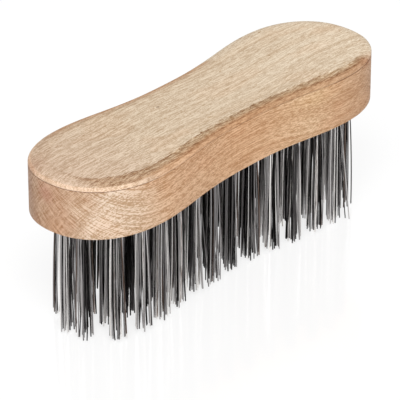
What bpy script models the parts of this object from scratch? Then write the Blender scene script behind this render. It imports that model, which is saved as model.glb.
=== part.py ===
"""A hand-drawn wire brush, made of a waisted beech block, tufts of steel wire, the soft draw
wires that hold the tufts in the block, and a cover board glued on over the draw wires.

Units are metres, with +Z up and +X along the block. The origin is under the block's middle, on
the surface that the wires' tips stand on."""

import math
import random

import bmesh
import bpy
from mathutils import Matrix, Vector

# Block outline, the same on both sides and at both ends
LENGTH = 0.200
LOBE_HALF_WIDTH = 0.0310  # at the widest place of each end
WAIST_HALF_WIDTH = 0.0252
LOBE_X = 0.062  # how far from the middle the lobes are widest
WAIST_POWER = 1.3  # how far the narrow waist reaches along the block
END_POWER = 2.2  # the ends' superellipse: 2 would be a true ellipse
STEPS_TO_LOBE = 7
STEPS_ROUND_END = 8

# Heights
FREE_WIRE = 0.0575  # from the tips up to the block's underside
BLOCK_THICKNESS = 0.0229
COVER_THICKNESS = 0.0022
CLEARANCE = 0.0003  # in the glue joint, and between a draw wire and the fold that it holds
BLOCK_TOP = FREE_WIRE + BLOCK_THICKNESS
COVER_BOTTOM = BLOCK_TOP + CLEARANCE
COVER_TOP = COVER_BOTTOM + COVER_THICKNESS

# Edges
EASED_EDGE = 0.0005  # round the block's underside
ROUND_WIDTH = 0.0065  # the cover's rounded upper edge, much wider than it is high
ROUND_HEIGHT = 0.0020
ROUND_STEPS = 4

# Tuft layout: two outer rows that follow the outline, and two inner ones between them
ROW_INSET = 0.012  # from the outline to the outer rows' hole centres
INNER_SHARE = 0.19  # the inner rows' distance from the middle, as a share of the half width
OUTER_COUNT = 13
OUTER_END_X = 0.079
INNER_COUNT = 14
INNER_END_X = 0.0875
ROWS_SHIFT = 0.0025  # all the rows sit this far from the block's middle towards +X

# Stepped holes: a pocket for the tuft, and a narrow hole on to the back for the draw wire
POCKET_RADIUS = 0.0032
POCKET_DEPTH = 0.014
THROUGH_RADIUS = 0.0017
HOLE_SIDES = 8
POCKET_TOP = FREE_WIRE + POCKET_DEPTH
GROOVE_WIDTH = 0.0018
GROOVE_DEPTH = 0.0013
CUT_PAST = 0.001  # how far each cutter runs past the face that it cuts through

# Draw wires
DRAW_RADIUS = 0.0004
STRAND_IN_HOLE = 0.0009  # from the hole's axis to the strand going down, and to the one coming up
STRAND_AT_FOLD = 0.0018
STRAND_SPREAD = 0.0010  # how far below the narrow hole the strands have spread round the fold
DRAW_TAIL = 0.0030
GROOVE_END = DRAW_TAIL + 0.0015  # past the last hole's strand

# Tufts: a bundle folded in half over the draw wire, splitting into prongs below the block
FOLD_TOP = POCKET_TOP - 0.0015
FOLD_THICKNESS = 0.0018
FOLD_CHAMFER = 0.0009
LEG_IN = 0.00075
LEG_OUT = 0.0024
LEG_HALF_WIDTH = 0.0011
LEG_END = FREE_WIRE - 0.0005
WITHIN = 0.000001
PRONG_GAP = 0.0004
PRONG_SPREAD = 0.0011  # how far the prongs of one tuft open out towards their tips
PRONG_WANDER = 0.0004
TIP_HEIGHTS = (0.0005, 0.005)  # of the shorter prongs' tips; the longest ends at 0
SPLAY_X = 0.010  # how far the tips lean out, as a share of the tuft's distance from the middle
SPLAY_Y = 0.06
SEED = 7

BEECH = (0.62, 0.42, 0.27)
COVER_BEECH = (0.72, 0.56, 0.40)
BRIGHT_WIRE = (0.30, 0.30, 0.31)
SOFT_WIRE = (0.42, 0.41, 0.40)


def clear_scene():
    for obj in list(bpy.data.objects):
        bpy.data.objects.remove(obj, do_unlink=True)


def make_material(name, colour, roughness, metallic):
    material = bpy.data.materials.new(name)
    material.use_nodes = True
    shader = material.node_tree.nodes["Principled BSDF"]
    shader.inputs["Base Color"].default_value = (*colour, 1.0)
    shader.inputs["Roughness"].default_value = roughness
    shader.inputs["Metallic"].default_value = metallic
    return material


def add_object(name, data, material=None):
    obj = bpy.data.objects.new(name, data)
    bpy.context.scene.collection.objects.link(obj)
    if material:
        data.materials.append(material)
    return obj


def mesh_from(bm, name):
    bmesh.ops.recalc_face_normals(bm, faces=bm.faces)
    mesh = bpy.data.meshes.new(name)
    bm.to_mesh(mesh)
    bm.free()
    return mesh


def skin_rings(bm, rings):
    """Joins rings of as many points each into one closed skin with a flat cap at both ends."""
    made = [[bm.verts.new(point) for point in ring] for ring in rings]
    for lower, upper in zip(made, made[1:]):
        for i in range(len(lower)):
            j = (i + 1) % len(lower)
            bm.faces.new((lower[i], lower[j], upper[j], upper[i]))
    bm.faces.new(made[0])
    bm.faces.new(made[-1])


# The block's outline


def half_width(x, inset=0.0):
    """Half the block's width at x. With an inset, of a curve that runs that far inside it."""
    x = abs(x)
    if x <= LOBE_X:
        rise = (1 - math.cos(math.pi * (x / LOBE_X) ** WAIST_POWER)) / 2
        return WAIST_HALF_WIDTH + (LOBE_HALF_WIDTH - WAIST_HALF_WIDTH) * rise - inset
    along = (x - LOBE_X) / (LENGTH / 2 - LOBE_X - inset)
    return (LOBE_HALF_WIDTH - inset) * max(0.0, 1 - along**END_POWER) ** (1 / END_POWER)


def outline():
    """The outline as a closed loop of points, running round from the middle of one side."""
    to_lobe = [LOBE_X * i / STEPS_TO_LOBE for i in range(STEPS_TO_LOBE + 1)]
    quarter = [(x, half_width(x)) for x in to_lobe]
    for i in range(1, STEPS_ROUND_END + 1):
        angle = math.pi / 2 * (1 - i / STEPS_ROUND_END)
        x = LOBE_X + (LENGTH / 2 - LOBE_X) * math.cos(angle) ** (2 / END_POWER)
        quarter.append((x, LOBE_HALF_WIDTH * math.sin(angle) ** (2 / END_POWER)))
    quarter[-1] = (LENGTH / 2, 0.0)
    half = quarter + [(x, -y) for x, y in reversed(quarter[:-1])]
    return half + [(-x, y) for x, y in reversed(half[1:-1])]


def ring(z, inset=0.0):
    """The outline at height z, moved in by inset along its own normals."""
    points = [Vector(point) for point in outline()]
    moved = []
    for i, point in enumerate(points):
        along = points[(i + 1) % len(points)] - points[i - 1]
        inward = Vector((along.y, -along.x)).normalized()
        at = point + inward * inset
        moved.append((at.x, at.y, z))
    return moved


# Where the tufts stand


def row_points(side, share_of_width, inset, count, end_x):
    """Hole centres of one row, up to end_x from the rows' middle. side is 1 or -1."""
    xs = [ROWS_SHIFT + end_x * (2 * i / (count - 1) - 1) for i in range(count)]
    return [Vector((x, side * share_of_width * half_width(x, inset))) for x in xs]


def tuft_rows():
    outer = (1.0, ROW_INSET, OUTER_COUNT, OUTER_END_X)
    inner = (INNER_SHARE, 0.0, INNER_COUNT, INNER_END_X)
    return [
        row_points(-1, *outer),
        row_points(-1, *inner),
        row_points(1, *inner),
        row_points(1, *outer),
    ]


def direction(row, i):
    """The way a row runs at its point i, as a unit vector."""
    return (row[min(i + 1, len(row) - 1)] - row[max(i - 1, 0)]).normalized()


# The block and its cover


def hide_cutter(cutter):
    cutter.hide_render = True
    cutter.display_type = "WIRE"


def cut(obj, cutter, name):
    hide_cutter(cutter)
    modifier = obj.modifiers.new(name, "BOOLEAN")
    modifier.operation = "DIFFERENCE"
    modifier.solver = "EXACT"
    modifier.object = cutter


def circle(centre, radius, z):
    turns = [2 * math.pi * (i + 0.5) / HOLE_SIDES for i in range(HOLE_SIDES)]
    return [
        (centre.x + radius * math.cos(a), centre.y + radius * math.sin(a), z) for a in turns
    ]


def hole_cutters(rows):
    """One stepped plug for each tuft, all in one mesh."""
    bm = bmesh.new()
    for centre in (point for row in rows for point in row):
        rings = (
            circle(centre, POCKET_RADIUS, FREE_WIRE - CUT_PAST),
            circle(centre, POCKET_RADIUS, POCKET_TOP),
            circle(centre, THROUGH_RADIUS, POCKET_TOP),
            circle(centre, THROUGH_RADIUS, BLOCK_TOP + CUT_PAST),
        )
        skin_rings(bm, rings)
    return add_object("hole_cutters", mesh_from(bm, "hole_cutters"))


def groove_cutters(rows):
    """A shallow bar along each row's back, all in one mesh."""
    bm = bmesh.new()
    low, high = BLOCK_TOP - GROOVE_DEPTH, BLOCK_TOP + CUT_PAST
    for row in rows:
        reach = STRAND_IN_HOLE + GROOVE_END
        centres = list(row)
        centres[0] = row[0] - direction(row, 0) * reach
        centres[-1] = row[-1] + direction(row, len(row) - 1) * reach
        sections = []
        for i, centre in enumerate(centres):
            along = direction(centres, i)
            side = Vector((-along.y, along.x)) * GROOVE_WIDTH / 2
            left, right = centre + side, centre - side
            sections.append(
                [(*left, low), (*right, low), (*right, high), (*left, high)]
            )
        skin_rings(bm, sections)
    return add_object("groove_cutters", mesh_from(bm, "groove_cutters"))


def make_block(rows, beech):
    bm = bmesh.new()
    levels = ((FREE_WIRE, EASED_EDGE), (FREE_WIRE + EASED_EDGE, 0.0), (BLOCK_TOP, 0.0))
    skin_rings(bm, [ring(z, inset) for z, inset in levels])
    block = add_object("block_body", mesh_from(bm, "block_body"), beech)
    cut(block, hole_cutters(rows), "tuft holes")
    cut(block, groove_cutters(rows), "draw wire grooves")


def make_cover(beech):
    """The thin board on the back. Its upper edge is a quarter of a flattened ellipse."""
    bm = bmesh.new()
    rings = [ring(COVER_BOTTOM)]
    for i in range(ROUND_STEPS + 1):
        angle = math.pi / 2 * i / ROUND_STEPS
        z = COVER_TOP - ROUND_HEIGHT * (1 - math.sin(angle))
        rings.append(ring(z, ROUND_WIDTH * (1 - math.cos(angle))))
    skin_rings(bm, rings)
    add_object("cover_board", mesh_from(bm, "cover_board"), beech)


# Draw wires


def draw_wire_points(row):
    """The wire's route along one row. It loops down each hole and round the tuft's fold."""
    groove_z = BLOCK_TOP - GROOVE_DEPTH / 2
    loop_z = FOLD_TOP - FOLD_THICKNESS - CLEARANCE - DRAW_RADIUS
    down = (
        (STRAND_IN_HOLE, groove_z),
        (STRAND_IN_HOLE, POCKET_TOP),
        (STRAND_AT_FOLD, POCKET_TOP - STRAND_SPREAD),
        (STRAND_AT_FOLD, loop_z),
    )
    points = []
    for i, centre in enumerate(row):
        along = direction(row, i)
        points += [(*(centre - along * off), z) for off, z in down]
        points += [(*(centre + along * off), z) for off, z in reversed(down)]
    tail = STRAND_IN_HOLE + DRAW_TAIL
    first = row[0] - direction(row, 0) * tail
    last = row[-1] + direction(row, len(row) - 1) * tail
    return [(*first, groove_z), *points, (*last, groove_z)]


def make_draw_wire(name, row, steel):
    curve = bpy.data.curves.new(name, "CURVE")
    curve.dimensions = "3D"
    curve.bevel_depth = DRAW_RADIUS
    curve.bevel_resolution = 0
    curve.use_fill_caps = True
    points = draw_wire_points(row)
    spline = curve.splines.new("POLY")
    spline.points.add(len(points) - 1)
    for spline_point, point in zip(spline.points, points):
        spline_point.co = (*point, 1.0)
    add_object(name, curve, steel)


# Tufts


def folded_profile():
    """The folded bundle's outline across the row, as (y, z): legs down, and the fold on top."""
    shoulder, inner = FOLD_TOP - FOLD_CHAMFER, FOLD_TOP - FOLD_THICKNESS
    right = [
        (LEG_IN, inner),
        (LEG_IN, LEG_END),
        (LEG_OUT, LEG_END),
        (LEG_OUT, shoulder),
        (LEG_OUT - FOLD_CHAMFER, FOLD_TOP),
    ]
    return right + [(-y, z) for y, z in reversed(right)]


def tuft_mesh(name, lean, rng):
    """A tuft about its hole's axis. lean is how far its tips stand out from that axis."""
    bm = bmesh.new()
    profile = folded_profile()
    sheets = []
    for x in (-LEG_HALF_WIDTH, 0.0, LEG_HALF_WIDTH):
        sheets.append([bm.verts.new((x, y, z)) for y, z in profile])
    for near, far in zip(sheets, sheets[1:]):
        for i in range(len(profile)):
            j = (i + 1) % len(profile)
            bm.faces.new((near[i], near[j], far[j], far[i]))
    bm.faces.new(sheets[0])
    bm.faces.new(sheets[-1])
    bmesh.ops.recalc_face_normals(bm, faces=bm.faces)

    ends = [f for f in bm.faces if max(v.co.z for v in f.verts) < LEG_END + WITHIN]
    bmesh.ops.inset_individual(bm, faces=ends, thickness=PRONG_GAP / 2)
    ends = sorted(ends, key=lambda f: tuple(round(c, 6) for c in f.calc_center_median()))
    tips = bmesh.ops.extrude_discrete_faces(bm, faces=ends)["faces"]
    heights = [0.0] + [rng.uniform(*TIP_HEIGHTS) for _ in tips[1:]]
    rng.shuffle(heights)
    for tip, height in zip(tips, heights):
        centre = tip.calc_center_median()
        spread = Vector((centre.x, centre.y)).normalized() * PRONG_SPREAD
        wander = Vector([rng.uniform(-PRONG_WANDER, PRONG_WANDER) for _ in range(2)])
        move = lean + spread + wander
        bmesh.ops.translate(bm, verts=tip.verts, vec=(*move, height - LEG_END))
    return mesh_from(bm, name)


def make_tuft(name, row, i, steel, rng):
    centre, along = row[i], direction(row, i)
    turn = math.atan2(along.y, along.x)
    lean = Vector((centre.x * SPLAY_X, centre.y * SPLAY_Y))
    lean.rotate(Matrix.Rotation(-turn, 2))
    tuft = add_object(name, tuft_mesh(name, lean, rng), steel)
    tuft.location = (centre.x, centre.y, 0.0)
    tuft.rotation_euler = (0.0, 0.0, turn)


def main():
    clear_scene()
    rng = random.Random(SEED)
    steel = make_material("bristle_steel", BRIGHT_WIRE, 0.35, 1.0)
    soft_steel = make_material("draw_wire_steel", SOFT_WIRE, 0.5, 1.0)
    rows = tuft_rows()
    make_block(rows, make_material("block_beech", BEECH, 0.6, 0.0))
    make_cover(make_material("cover_beech", COVER_BEECH, 0.6, 0.0))
    for number, row in enumerate(rows, start=1):
        make_draw_wire(f"draw_wire_row_{number}", row, soft_steel)
        for i in range(len(row)):
            make_tuft(f"tuft_row_{number}_{i + 1:02d}", row, i, steel, rng)


main()
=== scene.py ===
"""The looks of a waisted beech wire brush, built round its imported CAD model.

The block and the cover board are remade with a finer outline, each CAD tuft becomes a bundle of
separate folded wires, and the draw wires keep their CAD shape. Units are metres."""

import math
import random

import bmesh
import bpy
from mathutils import Matrix, Vector


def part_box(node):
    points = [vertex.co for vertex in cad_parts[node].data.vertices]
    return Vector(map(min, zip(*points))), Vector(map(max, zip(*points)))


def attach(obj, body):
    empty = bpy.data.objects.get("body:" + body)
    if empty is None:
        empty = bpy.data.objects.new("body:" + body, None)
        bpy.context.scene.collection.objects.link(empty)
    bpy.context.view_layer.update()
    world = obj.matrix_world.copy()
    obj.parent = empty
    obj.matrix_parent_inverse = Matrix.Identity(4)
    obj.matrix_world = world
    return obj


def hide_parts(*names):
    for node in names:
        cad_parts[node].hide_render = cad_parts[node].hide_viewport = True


MM = 0.001
SEED = 11

# Camera, found from the block's outline. Its angles and the light's are in degrees
CAMERA = {"azimuth": -48.7, "elevation": 28.7, "distance": 1.490}
CAMERA_LENS = 298.2
CAMERA_AIM = Vector((-0.0034, 0.0, 0.0332))

# Wood pieces
OUTLINE_CUTS = 5  # smooth steps between two neighbouring points of the CAD outline
EASED = 0.5 * MM  # the block's lower edge
BLOCK_RINGS = (0.35, 0.7, 1.0)  # heights of the rings round the block's side, as shares of it
JOINT_EASED = 0.12 * MM  # both edges of the glue joint
ROUND_WIDTH = 6.5 * MM  # the cover's rounded edge, an ellipse's quarter
ROUND_HEIGHT = 2.0 * MM
ROUND_STEPS = 14
STEP_UP = 0.12 * MM  # from the rounded edge's inner end to the flat top
FLAT_INSETS = (8.0 * MM, 11.0 * MM)  # rings on the flat top that carry the inset inwards
GLUE_LINE = 0.12 * MM  # the gap left between block and cover
ARC_STEPS = 4

# Holes in the block
POCKET_RADIUS = 3.2 * MM
POCKET_DEPTH = 14.0 * MM
THROUGH_RADIUS = 1.7 * MM
HOLE_SIDES = 20
GROOVE_WIDTH = 1.8 * MM
GROOVE_DEPTH = 1.3 * MM
GROOVE_PAST = 5.4 * MM
CUT_PAST = 1.0 * MM

# Wires
WIRE_HALF_WIDTH = 0.31 * MM
WIRE_HALF_THICK = 0.27 * MM
WIRE_SIDES = 6
WIRE_FLATNESS = 0.8  # power of the section's sine and cosine: 1 is an ellipse, 0 a rectangle
LAYERS = 3
COLUMNS = 4
LAYER_PITCH = 0.6 * MM
COLUMN_PITCH = 0.8 * MM
FIRST_FOLD_RADIUS = 0.8 * MM
FOLD_STEPS = 6
LEG_STEPS = 7
LOOP_BELOW_POCKET = 4.0 * MM  # how far the draw wire's loop lies below the pocket's top
BUNDLE_RADIUS = 2.7 * MM  # where the wires leave the block
SPREAD_ALONG = 1.75  # the bundle's width at the tips over that at the block, along its row
SPREAD_ACROSS = 1.25
SUB_BUNDLE_AT = 2.9 * MM  # the tips gather a little to either side of the tuft's middle
GATHER = 0.35
TIP_WANDER = 0.45 * MM
STRAY_SHARE = 0.07
STRAY_WANDER = 1.7 * MM
BOW = 0.35 * MM
TUFT_SHORT = 1.8 * MM  # the most by which a whole tuft is short
WIRE_SHORT = 1.2 * MM  # how unevenly the wires of one tuft are cut
SLANT = 0.35  # how much a tuft's cut slants across it
LEAN_Y = 0.03  # how far the tips lean outwards, as a share of the tuft's distance from the middle
WIRE_SCALE = (0.7, 1.15)  # the narrowest and widest wire, over the usual width

# The direction out through the growth rings, across the block: this much +Y and this much -Z
RINGS_OUT_Y = 0.65
RINGS_OUT_Z = 0.76

# Wood tints, which multiply the colour under them. A grain has its darkest and its lightest tint
TOP_GRAIN = (0.74, 0.67, 0.60, 1), (1.20, 1.25, 1.31, 1)
SIDE_GRAIN = (0.72, 0.62, 0.50, 1), (1.22, 1.30, 1.42, 1)
EDGE_GRAIN = (0.64, 0.53, 0.43, 1), (0.87, 0.81, 0.73, 1)
RING_TINT = (0.96, 0.93, 0.90, 1)
PINK_PATCH = (1.0, 0.97, 0.95, 1)
RAY_FLECK = (0.70, 0.60, 0.50, 1)
RIM_SHADE = (0.88, 0.89, 0.92, 1)
# a painted highlight on the cover's rim at the left end
PAINTED_RIM_HIGHLIGHT = (1.18, 1.15, 1.13, 1)
EDGE_STREAK = (0.76, 0.66, 0.55, 1)
# painted shadow of a small step, and tear-out, in dashes along the rounded edge's inner part
CREASE_SHADOW_AND_TEAROUT = (0.74, 0.63, 0.52, 1)
JOINT_DARK = (0.30, 0.17, 0.11, 1)

# Lights and floor
KEY_LIGHT = {"azimuth": -50.0, "elevation": 54.0, "distance": 1.3}
KEY_SIZE = 0.6
KEY_POWER = 16.0
SKY_STRENGTH = 0.46
FLOOR_GREY = (0.20, 0.20, 0.20, 1)
FLOOR_GLOW = 0.77
FLOOR_BELOW = 0.2 * MM  # so that the wires' tips don't touch the floor
FLOOR_HALF_SIDE = 6.0


def read_outline(node):
    """The CAD cover's outline as points in order round the middle."""
    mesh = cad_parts[node].data
    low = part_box(node)[0].z
    found = {(round(v.co.x, 6), round(v.co.y, 6)) for v in mesh.vertices if v.co.z < low + EASED}
    return [Vector(p) for p in sorted(found, key=lambda p: math.atan2(p[1], p[0]))]


def smooth_loop(points, cuts):
    """More points on a smooth closed curve through these ones."""
    made = []
    count = len(points)
    for i in range(count):
        a, b, c, d = (points[(i + k) % count] for k in (-1, 0, 1, 2))
        for step in range(cuts):
            t = step / cuts
            bend = (2 * a - 5 * b + 4 * c - d) * t**2 + (3 * (b - c) + d - a) * t**3
            made.append((2 * b + (c - a) * t + bend) / 2)
    return made


def inset_loop(points, inset):
    """The loop moved inwards along its own normals."""
    moved = []
    for i, point in enumerate(points):
        along = points[(i + 1) % len(points)] - points[i - 1]
        moved.append(point + Vector((-along.y, along.x)).normalized() * inset)
    return moved


def skin_rings(bm, rings):
    """One closed skin through rings of as many points each, with a cap at both ends."""
    made = [[bm.verts.new(point) for point in ring] for ring in rings]
    for lower, upper in zip(made, made[1:]):
        for i in range(len(lower)):
            j = (i + 1) % len(lower)
            bm.faces.new((lower[i], lower[j], upper[j], upper[i]))
    bm.faces.new(made[0])
    bm.faces.new(made[-1])


def mesh_object(name, bm):
    bmesh.ops.recalc_face_normals(bm, faces=bm.faces)
    mesh = bpy.data.meshes.new(name)
    bm.to_mesh(mesh)
    bm.free()
    made = bpy.data.objects.new(name, mesh)
    bpy.context.scene.collection.objects.link(made)
    return made


def shade(obj, angle=35.0):
    obj.data.shade_smooth()
    obj.data.set_sharp_from_angle(angle=math.radians(angle))


def paint(obj, name, values):
    """Keeps one number for each vertex, which a material reads by name."""
    layer = obj.data.attributes.new(name, "FLOAT", "POINT")
    layer.data.foreach_set("value", values)


# Where the tufts stand


def tuft_centre(name):
    """The axis of a tuft's hole, from the part of the CAD tuft inside the block."""
    inside = [v.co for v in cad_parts[name].data.vertices if v.co.z > BLOCK_LOW + EASED]
    return Vector((sum(p.x for p in inside), sum(p.y for p in inside))) / len(inside)


def tuft_rows():
    """{row number: [(name, centre)]} in order along X."""
    rows = {}
    for name in sorted(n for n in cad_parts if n.startswith("tuft_")):
        rows.setdefault(name.split("_")[2], []).append((name, tuft_centre(name)))
    return rows


def row_direction(row, i):
    after, before = row[min(i + 1, len(row) - 1)][1], row[max(i - 1, 0)][1]
    return (after - before).normalized()


# The block


def circle(centre, radius, z):
    turns = [2 * math.pi * i / HOLE_SIDES for i in range(HOLE_SIDES)]
    return [(centre.x + radius * math.cos(a), centre.y + radius * math.sin(a), z) for a in turns]


def hole_cutter(rows):
    bm = bmesh.new()
    pocket_top = BLOCK_LOW + POCKET_DEPTH
    for _, centre in (tuft for row in rows.values() for tuft in row):
        rings = (
            circle(centre, POCKET_RADIUS + CUT_PAST / 4, BLOCK_LOW - CUT_PAST / 4),
            circle(centre, POCKET_RADIUS, BLOCK_LOW + CUT_PAST / 4),
            circle(centre, POCKET_RADIUS, pocket_top),
            circle(centre, THROUGH_RADIUS, pocket_top),
            circle(centre, THROUGH_RADIUS, BLOCK_HIGH + CUT_PAST),
        )
        skin_rings(bm, rings)
    return mesh_object("hole_cutter", bm)


def groove_cutter(rows):
    bm = bmesh.new()
    low, high = BLOCK_HIGH - GROOVE_DEPTH, BLOCK_HIGH + CUT_PAST
    for row in rows.values():
        centres = [centre.copy() for _, centre in row]
        centres[0] -= row_direction(row, 0) * GROOVE_PAST
        centres[-1] += row_direction(row, len(row) - 1) * GROOVE_PAST
        sections = []
        for i, centre in enumerate(centres):
            along = row_direction(row, i)
            side = Vector((-along.y, along.x)) * GROOVE_WIDTH / 2
            left, right = centre + side, centre - side
            sections.append([(*left, low), (*right, low), (*right, high), (*left, high)])
        skin_rings(bm, sections)
    return mesh_object("groove_cutter", bm)


def cut(obj, cutter):
    """Cuts obj now, so that no modifier or cutter is left."""
    modifier = obj.modifiers.new("cut", "BOOLEAN")
    modifier.operation = "DIFFERENCE"
    modifier.solver = "EXACT"
    modifier.object = cutter
    graph = bpy.context.evaluated_depsgraph_get()
    mesh = bpy.data.meshes.new_from_object(obj.evaluated_get(graph))
    obj.modifiers.clear()
    old, obj.data = obj.data, mesh
    bpy.data.meshes.remove(old)
    mesh.name = obj.name
    bpy.data.objects.remove(cutter)


def arc(steps):
    return [math.pi / 2 * i / steps for i in range(steps + 1)]


def ring_at(loop, z, inset):
    return [(p.x, p.y, z) for p in inset_loop(loop, inset)]


def make_block(loop, rows):
    levels = [(BLOCK_LOW + EASED * (1 - math.cos(a)), EASED * (1 - math.sin(a))) for a in arc(ARC_STEPS)]
    high = GLUE_MIDDLE - GLUE_LINE / 2
    top = high - JOINT_EASED
    levels += [(BLOCK_LOW + (top - BLOCK_LOW) * share, 0.0) for share in BLOCK_RINGS]
    levels.append((high, JOINT_EASED))
    bm = bmesh.new()
    skin_rings(bm, [ring_at(loop, z, inset) for z, inset in levels])
    block = mesh_object("block_wood", bm)
    cut(block, hole_cutter(rows))
    cut(block, groove_cutter(rows))
    joint = [1.0 if v.co.z > top + JOINT_EASED / 2 else 0.0 for v in block.data.vertices]
    paint(block, "joint", joint)
    shade(block)
    return block


def make_cover(loop):
    low, high = GLUE_MIDDLE + GLUE_LINE / 2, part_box("cover_board")[1].z
    levels = [(low, JOINT_EASED, 1.0), (low + JOINT_EASED, 0.0, 0.0)]
    rise = ROUND_HEIGHT - STEP_UP
    for a in arc(ROUND_STEPS):
        inset = ROUND_WIDTH * (1 - math.cos(a))
        levels.append((high - ROUND_HEIGHT + rise * math.sin(a), inset, 0.0))
    levels += [(high, inset, 0.0) for inset in (ROUND_WIDTH + STEP_UP, *FLAT_INSETS)]
    bm = bmesh.new()
    skin_rings(bm, [ring_at(loop, z, inset) for z, inset, _ in levels])
    cover = mesh_object("cover_wood", bm)
    count = len(loop)
    paint(cover, "joint", [joint for _, _, joint in levels for _ in range(count)])
    paint(cover, "inset", [inset / MM for _, inset, _ in levels for _ in range(count)])
    shade(cover, angle=25.0)
    return cover


# Tufts of wire


def section(half_width, half_thick):
    """The flattened section of one wire."""
    points = []
    for i in range(WIRE_SIDES):
        a = 2 * math.pi * (i + 0.5) / WIRE_SIDES
        c, s = math.cos(a), math.sin(a)
        x = math.copysign(abs(c) ** WIRE_FLATNESS, c) * half_width
        y = math.copysign(abs(s) ** WIRE_FLATNESS, s) * half_thick
        points.append((x, y))
    return points


def sweep(bm, path, shape, turn):
    """One closed tube of this section along a path. turn sets how its flat side faces."""
    tangent = (path[1] - path[0]).normalized()
    side = tangent.orthogonal().normalized()
    side.rotate(Matrix.Rotation(turn, 3, tangent))
    rings = []
    for i, point in enumerate(path):
        new = (path[min(i + 1, len(path) - 1)] - path[max(i - 1, 0)]).normalized()
        side.rotate(tangent.rotation_difference(new))
        tangent = new
        other = tangent.cross(side)
        rings.append([point + side * x + other * y for x, y in shape])
    skin_rings(bm, rings)


def sunflower(count, radius):
    """Spots spread evenly over a disc."""
    golden = math.pi * (3 - math.sqrt(5))
    spots = []
    for i in range(count):
        r = radius * math.sqrt((i + 0.5) / count)
        spots.append(Vector((r * math.cos(i * golden), r * math.sin(i * golden))))
    return spots


def leg_ends(rng, lean):
    """Where the wires leave the block and where their tips are, as two lists, nearest side first."""
    count = 2 * LAYERS * COLUMNS
    turn = Matrix.Rotation(rng.uniform(0, 2 * math.pi), 2)
    bases = [turn @ spot for spot in sunflower(count, BUNDLE_RADIUS)]
    bases.sort(key=lambda p: p.y)
    slope = Vector((rng.uniform(-1, 1), rng.uniform(-1, 1))) * SLANT
    short = rng.uniform(0, TUFT_SHORT)
    tips = []
    for base in bases:
        wander = STRAY_WANDER if rng.random() < STRAY_SHARE else TIP_WANDER
        stray = Vector((rng.gauss(0, wander), rng.gauss(0, wander)))
        sub = math.copysign(SUB_BUNDLE_AT, base.x)
        x = base.x * SPREAD_ALONG
        flat = Vector((x + (sub - x) * GATHER, base.y * SPREAD_ACROSS)) + lean + stray
        height = short + abs(rng.gauss(0, WIRE_SHORT)) + (BUNDLE_RADIUS + base.dot(slope)) * SLANT
        tips.append((flat, height))
    least = min(height for _, height in tips) - rng.uniform(0, TUFT_SHORT)
    return bases, [(flat, max(0.0, height - max(least, 0.0))) for flat, height in tips]


def leg(base, tip, height, fold, rng):
    """Points from the tip of one leg up to where the fold starts."""
    bow = Vector((rng.gauss(0, BOW), rng.gauss(0, BOW)))
    points = []
    for i in range(LEG_STEPS):
        t = i / LEG_STEPS
        flat = tip.lerp(base, t) + bow * (4 * t * (1 - t))
        points.append(Vector((*flat, height + (BLOCK_LOW - height) * t)))
    points.append(Vector((*base, BLOCK_LOW)))
    points.append(Vector((*base.lerp(fold.xy, 0.5), (BLOCK_LOW + fold.z) / 2)))
    return points


def hairpin(ends, tips, column, layer, loop_z, rng):
    """A whole wire: up one leg, over the draw wire, and down the other leg."""
    radius = FIRST_FOLD_RADIUS + layer * LAYER_PITCH
    near = Vector((column, -radius, loop_z))
    far = Vector((column, radius, loop_z))
    path = leg(ends[0], *tips[0], near, rng)
    for i in range(FOLD_STEPS + 1):
        a = math.pi * i / FOLD_STEPS
        path.append(Vector((column, -radius * math.cos(a), loop_z + radius * math.sin(a))))
    return path + leg(ends[1], *tips[1], far, rng)[::-1]


def make_tuft(name, centre, along, rng):
    """One tuft in its hole's own axes: X along the row, Z up."""
    turn = math.atan2(along.y, along.x)
    lean = Vector((0.0, centre.y * LEAN_Y))
    lean.rotate(Matrix.Rotation(-turn, 2))
    bases, tips = leg_ends(rng, lean)
    half = len(bases) // 2
    near = sorted(range(half), key=lambda k: bases[k].x)
    far = sorted(range(half, 2 * half), key=lambda k: bases[k].x)
    loop_z = BLOCK_LOW + POCKET_DEPTH - LOOP_BELOW_POCKET
    bm = bmesh.new()
    tones = []
    for k in range(half):
        column = (k // LAYERS - (COLUMNS - 1) / 2) * COLUMN_PITCH
        pair = (near[k], far[k])
        path = hairpin(
            [bases[i] for i in pair], [tips[i] for i in pair], column, k % LAYERS, loop_z, rng
        )
        scale = rng.uniform(*WIRE_SCALE)
        shape = section(WIRE_HALF_WIDTH * scale, WIRE_HALF_THICK)
        sweep(bm, path, shape, rng.uniform(0, math.pi))
        halfway = (len(path) // 2) * WIRE_SIDES
        total = len(path) * WIRE_SIDES
        tones += [rng.random()] * halfway + [rng.random()] * (total - halfway)
    made = mesh_object(name.replace("tuft", "wires"), bm)
    made.data.transform(Matrix.Translation((*centre, 0.0)) @ Matrix.Rotation(turn, 4, "Z"))
    paint(made, "tone", tones)
    shade(made, angle=50.0)
    return made


# Materials


def add(tree, kind, inputs=None, **settings):
    made = tree.nodes.new(kind)
    for key, value in settings.items():
        setattr(made, key, value)
    for key, value in (inputs or {}).items():
        if isinstance(value, bpy.types.NodeSocket):
            tree.links.new(value, made.inputs[key])
        else:
            made.inputs[key].default_value = value
    return made


def maths(tree, operation, a, b=0.0, c=0.0, clamp=False):
    inputs = {0: a, 1: b, 2: c}
    made = add(tree, "ShaderNodeMath", inputs, operation=operation, use_clamp=clamp)
    return made.outputs[0]


def noise(tree, vector, detail=2.0, roughness=0.5):
    inputs = {"Vector": vector, "Scale": 1.0, "Detail": detail, "Roughness": roughness}
    return add(tree, "ShaderNodeTexNoise", inputs).outputs[0]


def combine(tree, x, y, z):
    return add(tree, "ShaderNodeCombineXYZ", {0: x, 1: y, 2: z}).outputs[0]


def span(tree, value, low, high, to_low=0.0, to_high=1.0):
    inputs = {"Value": value, "From Min": low, "From Max": high, "To Min": to_low, "To Max": to_high}
    return add(tree, "ShaderNodeMapRange", inputs, interpolation_type="SMOOTHSTEP").outputs[0]


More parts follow.
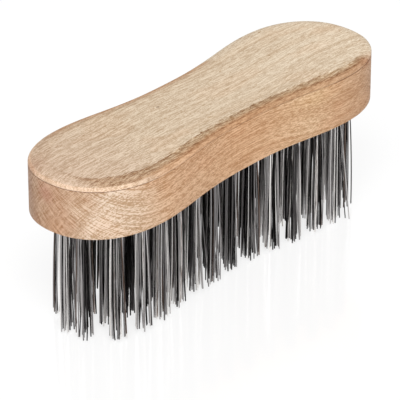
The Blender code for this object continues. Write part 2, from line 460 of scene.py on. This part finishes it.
def mix(tree, factor, a, b, blend="MIX"):
    made = add(tree, "ShaderNodeMix", data_type="RGBA", blend_type=blend)
    for index, value in ((0, factor), (6, a), (7, b)):
        if isinstance(value, bpy.types.NodeSocket):
            tree.links.new(value, made.inputs[index])
        else:
            made.inputs[index].default_value = value
    return made.outputs[2]


def colour(r, g, b):
    """A linear colour from 0 to 255 screen values."""

    def linear(v):
        v /= 255
        return v / 12.92 if v <= 0.04045 else ((v + 0.055) / 1.055) ** 2.4

    return (linear(r), linear(g), linear(b), 1.0)


def new_material(name):
    material = bpy.data.materials.new(name)
    material.use_nodes = True
    tree = material.node_tree
    return material, tree, tree.nodes["Principled BSDF"]


def attribute(tree, name):
    return add(tree, "ShaderNodeAttribute", attribute_name=name).outputs["Fac"]


def place_in_mm(tree):
    """The object's own x, y and z, in millimetres."""
    place = add(tree, "ShaderNodeTexCoord").outputs["Object"]
    scaled = add(tree, "ShaderNodeVectorMath", {0: place, 1: (1000, 1000, 1000)}, operation="MULTIPLY")
    parts = add(tree, "ShaderNodeSeparateXYZ", {0: scaled.outputs[0]})
    return scaled.outputs[0], [parts.outputs[i] for i in range(3)]


def ramp_of(tree, at, stops, interpolation="LINEAR"):
    ramp = add(tree, "ShaderNodeValToRGB", {0: at})
    ramp.color_ramp.interpolation = interpolation
    while len(ramp.color_ramp.elements) < len(stops):
        ramp.color_ramp.elements.new(0.5)
    for element, (position, tone) in zip(ramp.color_ramp.elements, stops):
        element.position = position
        element.color = tone
    return ramp.outputs[0]


def tint(tree, factor, base, tone):
    """Multiplies base by tone where factor is 1."""
    return mix(tree, factor, base, tone, "MULTIPLY")


def spot(tree, place, centre, radii, wobble):
    """1 at the centre of an ellipsoid, falling to 0 at its edge. All in millimetres."""
    away = add(tree, "ShaderNodeVectorMath", {0: place, 1: centre}, operation="SUBTRACT")
    scaled = add(tree, "ShaderNodeVectorMath", {0: away.outputs[0], 1: radii}, operation="DIVIDE")
    far = add(tree, "ShaderNodeVectorMath", {0: scaled.outputs[0]}, operation="LENGTH").outputs["Value"]
    return span(tree, maths(tree, "MULTIPLY_ADD", wobble, 0.8, far), 1.5, 0.5)


def product(tree, first, *others):
    for other in others:
        first = maths(tree, "MULTIPLY", first, other)
    return first


def weighted(tree, parts):
    """The sum of some (value, weight) pairs."""
    total = 0.0
    for value, weight in parts:
        total = maths(tree, "MULTIPLY_ADD", value, weight, total)
    return total


def wood_pattern(tree, x, y, z, shift):
    """A function that makes noise along the fibres, out through the rings and round the rings."""
    drift = noise(tree, combine(tree, maths(tree, "MULTIPLY", x, 0.012), shift, 0.0), 1.0)
    drift = maths(tree, "MULTIPLY_ADD", drift, 7.0, shift * 13.0)
    outward = maths(tree, "MULTIPLY_ADD", y, RINGS_OUT_Y, drift)
    outward = maths(tree, "MULTIPLY_ADD", z, -RINGS_OUT_Z, outward)
    round_rings = maths(tree, "MULTIPLY", z, RINGS_OUT_Y)
    round_rings = maths(tree, "MULTIPLY_ADD", y, RINGS_OUT_Z, round_rings)

    def pattern(*rates, detail=1.0, roughness=0.5):
        pairs = zip((x, outward, round_rings), rates)
        scaled = [maths(tree, "MULTIPLY", value, rate) for value, rate in pairs]
        return noise(tree, combine(tree, *scaled), detail, roughness)

    return pattern


def end_grain(tree, pattern, x, grain):
    """Mixes to crossing rings, rays and pores towards the block's two ends."""
    rings, rays, pores = pattern(0.02, 2.4, 0.10), pattern(0.05, 0.12, 2.4), pattern(0.8, 2.4, 2.4)
    crossing = weighted(tree, ((rings, 0.40), (rays, 0.26), (pores, 0.34)))
    at_end = span(tree, maths(tree, "ABSOLUTE", x), 60.0, 92.0)
    return add(tree, "ShaderNodeMix", {0: at_end, 2: grain, 3: crossing}).outputs[0]


def edge_band(tree, base, x, y, inset, dashes, fine, right_end):
    """Darker streaky grain on the cover's rounded edge, on the near side, with painted step shadow and
    tear-out in dashes along its inner edge, and a painted highlight on the rim at the left end.

    The band is widest at the waist, where it reaches the joint, and narrows towards the right.
    Lengths are in millimetres."""
    near = span(tree, y, 10.0, -10.0, 0.2, 1.0)
    near = product(tree, near, span(tree, x, -95.0, -88.0), span(tree, right_end, 0.0, 1.0, 1.0, 0.1))
    waist = product(tree, span(tree, x, -45.0, -5.0), span(tree, x, 60.0, 25.0))
    inner = maths(tree, "MULTIPLY_ADD", dashes, 2.6, maths(tree, "ADD", inset, -1.3))
    for shift in (span(tree, x, 45.0, 88.0, 0.0, 2.6), span(tree, x, -58.0, -80.0, 0.0, -1.7), waist):
        inner = maths(tree, "ADD", inner, shift)
    outer = maths(tree, "MAXIMUM", span(tree, inset, 1.2, 1.8), maths(tree, "MULTIPLY", waist, 0.4))
    edge = product(tree, outer, span(tree, inner, 7.2, 6.6), near)
    base = tint(tree, edge, base, mix(tree, fine, *EDGE_GRAIN))

    winding = combine(tree, maths(tree, "MULTIPLY", x, 0.25), maths(tree, "MULTIPLY", inner, 2.2), 0.0)
    streak = product(tree, span(tree, noise(tree, winding), 0.48, 0.60), near)
    base = tint(tree, product(tree, edge, streak), base, EDGE_STREAK)
    # dark dashes on the band's inner part: painted shadow of a small step, and tear-out
    crease_shadow_and_tearout = product(tree, span(tree, inner, 4.9, 5.8), span(tree, inner, 7.3, 6.7), streak)
    base = tint(tree, crease_shadow_and_tearout, base, CREASE_SHADOW_AND_TEAROUT)
    # painted highlight on the rim at the left end
    left_rim_highlight = product(tree, span(tree, inset, 1.7, 1.3), span(tree, x, -70.0, -80.0))
    return tint(tree, left_rim_highlight, base, PAINTED_RIM_HIGHLIGHT)


def wood(name, shift, side_tones, top_tones=None, stains_and_shade=()):
    """Beech: growth rings, long fibres, dark ray flecks and pores, all in one solid pattern.

    The tones are [(place along the block from 0 to 1, colour)]; the side's darker tones at both ends
    are painted shade. The spots are [(centre, radii, strength, tint)] in millimetres: stained wood, and
    one painted shade with a redder tone on the far-left edge. With top_tones, the piece is the cover,
    whose edge down to the joint has the block's tones, and whose rounding is darker."""
    material, tree, shader = new_material(name)
    place, (x, y, z) = place_in_mm(tree)
    pattern = wood_pattern(tree, x, y, z, shift)
    rings = pattern(0.010, 1.3, 0.03, detail=2.0)
    bands = pattern(0.006, 0.22, 0.02)
    fibres = pattern(0.15 if top_tones else 0.045, 2.5, 2.5, detail=2.0, roughness=0.6)
    dashes = pattern(0.30, 2.8, 2.8)
    rays = pattern(0.30, 0.16, 1.6)
    pores = pattern(1.0, 4.0, 4.0, detail=0.0)
    patches = pattern(0.03, 0.06, 0.06, detail=2.0)

    at = maths(tree, "MULTIPLY_ADD", patches, 0.12, maths(tree, "MULTIPLY_ADD", x, 0.005, 0.44))
    base = ramp_of(tree, at, side_tones)
    if top_tones:
        inset = maths(tree, "ADD", attribute(tree, "inset"), -0.45)
        inset = maths(tree, "MULTIPLY_ADD", fibres, 0.9, inset)
        right_end = span(tree, maths(tree, "ADD", x, y), 50.0, 58.0)
        at_ends = maths(tree, "MAXIMUM", span(tree, x, -66.0, -86.0), right_end)
        on_top = maths(tree, "MAXIMUM", span(tree, inset, 1.2, 5.2), at_ends)
        base = mix(tree, on_top, tint(tree, 1.0, base, RIM_SHADE), ramp_of(tree, at, top_tones))
    for centre, radii, strength, tone in stains_and_shade:
        here = maths(tree, "MULTIPLY", spot(tree, place, centre, radii, patches), strength)
        base = tint(tree, here, base, tone)

    grain = weighted(tree, ((fibres, 0.36), (rings, 0.18), (dashes, 0.20), (rays, 0.09), (pores, 0.17)))
    if top_tones:
        strong = span(tree, x, 10.0, -80.0, 0.88, 1.3)
    else:
        grain = end_grain(tree, pattern, x, grain)
        strong = span(tree, x, -40.0, -90.0, 1.12, 2.2)
    grain = maths(tree, "MULTIPLY_ADD", maths(tree, "ADD", grain, -0.5), strong, 0.5)
    fine = span(tree, grain, 0.42, 0.58)
    base = tint(tree, 1.0, base, mix(tree, fine, *(TOP_GRAIN if top_tones else SIDE_GRAIN)))
    base = tint(tree, span(tree, bands, 0.5, 0.75), base, RING_TINT)
    base = tint(tree, span(tree, patches, 0.52, 0.62), base, PINK_PATCH)
    flecks = maths(tree, "MAXIMUM", span(tree, rays, 0.67, 0.73), span(tree, dashes, 0.68, 0.74))
    base = tint(tree, flecks, base, RAY_FLECK)
    if top_tones:
        base = edge_band(tree, base, x, y, inset, dashes, fine, right_end)
    from_waist = maths(tree, "ABSOLUTE", maths(tree, "ADD", x, 10.0))
    joint = product(tree, attribute(tree, "joint"), span(tree, from_waist, 40.0, 80.0, 0.1, 1.0))
    base = tint(tree, joint, base, JOINT_DARK)
    tree.links.new(base, shader.inputs["Base Color"])
    tree.links.new(span(tree, grain, 0.35, 0.65, 0.72, 0.5), shader.inputs["Roughness"])
    shader.inputs["Specular IOR Level"].default_value = 0.3
    bump = add(tree, "ShaderNodeBump", {"Strength": 0.4, "Distance": 0.00012, "Height": grain})
    tree.links.new(bump.outputs[0], shader.inputs["Normal"])
    return material


def steel(name, stops, roughness, marks_depth):
    """Drawn wire. Each wire has its own tone, with fine marks along it."""
    material, tree, shader = new_material(name)
    place = add(tree, "ShaderNodeTexCoord").outputs["Object"]
    scaled = add(tree, "ShaderNodeVectorMath", {0: place, 1: (2500, 2500, 160)}, operation="MULTIPLY")
    marks = noise(tree, scaled.outputs[0], 2.0)
    tone = maths(tree, "MULTIPLY_ADD", marks, marks_depth, attribute(tree, "tone"))
    tone = maths(tree, "ADD", tone, -marks_depth / 2)
    tree.links.new(ramp_of(tree, tone, stops), shader.inputs["Base Color"])
    rough = span(tree, marks, 0.3, 0.7, roughness - 0.08, roughness + 0.12)
    tree.links.new(rough, shader.inputs["Roughness"])
    shader.inputs["Metallic"].default_value = 1.0
    bump = add(tree, "ShaderNodeBump", {"Strength": 0.2, "Distance": 0.00004, "Height": marks})
    tree.links.new(bump.outputs[0], shader.inputs["Normal"])
    return material


def dress(obj, material, node_name):
    obj.data.materials.clear()
    obj.data.materials.append(material)
    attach(obj, "root")
    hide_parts(node_name)


# The studio


def make_floor():
    bm = bmesh.new()
    bmesh.ops.create_grid(bm, x_segments=1, y_segments=1, size=FLOOR_HALF_SIDE)
    floor = mesh_object("floor", bm)
    floor.location.z = -FLOOR_BELOW
    material, _, shader = new_material("studio_floor")
    shader.inputs["Base Color"].default_value = FLOOR_GREY
    shader.inputs["Roughness"].default_value = 0.1
    shader.inputs["IOR"].default_value = 1.6
    shader.inputs["Specular IOR Level"].default_value = 1.0
    shader.inputs["Emission Color"].default_value = (1, 1, 1, 1)
    shader.inputs["Emission Strength"].default_value = FLOOR_GLOW
    floor.data.materials.append(material)


def aimed(name, data, azimuth, elevation, distance):
    """A light or a camera looking at the brush. Azimuth 0 looks along +Y."""
    a, e = math.radians(azimuth), math.radians(elevation)
    away = Vector((math.sin(a) * math.cos(e), -math.cos(a) * math.cos(e), math.sin(e)))
    made = bpy.data.objects.new(name, data)
    made.location = CAMERA_AIM + away * distance
    made.rotation_euler = (-away).to_track_quat("-Z", "Y").to_euler()
    bpy.context.scene.collection.objects.link(made)
    return made


def light_studio():
    """An even white sky and one square soft light."""
    world = bpy.data.worlds.new("studio")
    world.use_nodes = True
    world.node_tree.nodes["Background"].inputs["Color"].default_value = (1, 1, 1, 1)
    world.node_tree.nodes["Background"].inputs["Strength"].default_value = SKY_STRENGTH
    bpy.context.scene.world = world
    light = bpy.data.lights.new("key", "AREA")
    light.size = KEY_SIZE
    light.energy = KEY_POWER
    aimed("key", light, **KEY_LIGHT)
    bpy.context.scene.view_settings.view_transform = "Standard"


def make_camera():
    data = bpy.data.cameras.new("camera")
    data.lens = CAMERA_LENS
    data.clip_start, data.clip_end = 0.05, 20.0
    bpy.context.scene.camera = aimed("camera", data, **CAMERA)


# The brush

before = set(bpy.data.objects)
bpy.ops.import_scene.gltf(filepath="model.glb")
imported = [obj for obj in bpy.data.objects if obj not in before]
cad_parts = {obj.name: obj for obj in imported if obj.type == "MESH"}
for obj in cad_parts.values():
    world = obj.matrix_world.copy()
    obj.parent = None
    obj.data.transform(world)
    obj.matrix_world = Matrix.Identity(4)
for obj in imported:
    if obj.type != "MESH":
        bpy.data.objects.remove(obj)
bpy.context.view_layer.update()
BLOCK_LOW, BLOCK_HIGH = (corner.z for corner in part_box("block_body"))
GLUE_MIDDLE = (BLOCK_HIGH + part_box("cover_board")[0].z) / 2

make_camera()
light_studio()
make_floor()

outline = smooth_loop(read_outline("cover_board"), OUTLINE_CUTS)
tufts = tuft_rows()
# Colours along the side from the left end (0) to the right end (1); the darker tones at both ends are
# painted shade, where the side turns away from the light
side_tones = [
    (0.00, colour(182, 145, 116)),
    (0.02, colour(186, 156, 129)),
    (0.045, colour(201, 177, 153)),
    (0.12, colour(200, 171, 143)),
    (0.20, colour(200, 160, 124)),
    (0.50, colour(200, 157, 118)),
    (0.70, colour(201, 166, 130)),
    (0.80, colour(196, 156, 120)),
    (1.00, colour(188, 147, 112)),
]
top_tones = [
    (0.0, colour(193, 168, 145)),
    (0.3, colour(199, 179, 154)),
    (0.6, colour(206, 187, 162)),
    (1.0, colour(218, 200, 175)),
]
stains_and_shade = [
    # painted shade with a redder tone on the far-left edge, where the side turns away from the light
    ((-96.0, 17.0, 70.0), (12.0, 13.0, 22.0), 0.85, (0.68, 0.53, 0.46, 1)),
    ((-100.0, 3.0, 75.0), (7.0, 6.0, 6.0), 0.7, (0.86, 0.70, 0.71, 1)),
    ((-98.0, -3.0, 60.5), (8.0, 8.0, 6.0), 0.4, (0.97, 0.84, 0.68, 1)),
    ((42.0, -30.0, 77.5), (22.0, 9.0, 6.0), 0.8, (1.06, 1.08, 1.02, 1)),
    ((80.0, -27.0, 62.5), (16.0, 12.0, 6.0), 0.7, (0.97, 0.86, 0.74, 1)),
    ((83.0, -27.0, 80.5), (14.0, 6.0, 3.0), 0.9, (0.82, 0.66, 0.58, 1)),
    ((-19.8, 10.4, 82.9), (1.3, 0.9, 2.0), 0.8, (0.35, 0.28, 0.24, 1)),
]
block_beech = wood("block_beech", 0.0, side_tones, stains_and_shade=stains_and_shade)
cover_beech = wood("cover_beech", 3.0, side_tones, top_tones, stains_and_shade)
dress(make_block(outline, tufts), block_beech, "block_body")
dress(make_cover(outline), cover_beech, "cover_board")

wire_tones = [
    (0.00, colour(10, 9, 9)),
    (0.28, colour(30, 28, 28)),
    (0.38, colour(108, 105, 105)),
    (0.64, colour(168, 165, 165)),
    (0.80, colour(206, 203, 201)),
    (0.94, colour(244, 241, 238)),
    (0.97, colour(126, 108, 98)),
    (1.00, colour(94, 78, 70)),
]
bristle_steel = steel("bristle_steel", wire_tones, roughness=0.34, marks_depth=0.08)
rng = random.Random(SEED)
for row in tufts.values():
    for i, (name, centre) in enumerate(row):
        made = make_tuft(name, centre, row_direction(row, i), rng)
        dress(made, bristle_steel, name)

draw_tones = [(0.0, colour(110, 106, 100)), (1.0, colour(176, 172, 166))]
draw_steel = steel("draw_wire_steel", draw_tones, roughness=0.5, marks_depth=1.0)
for name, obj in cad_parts.items():
    if name.startswith("draw_wire"):
        obj.data.materials.clear()
        obj.data.materials.append(draw_steel)
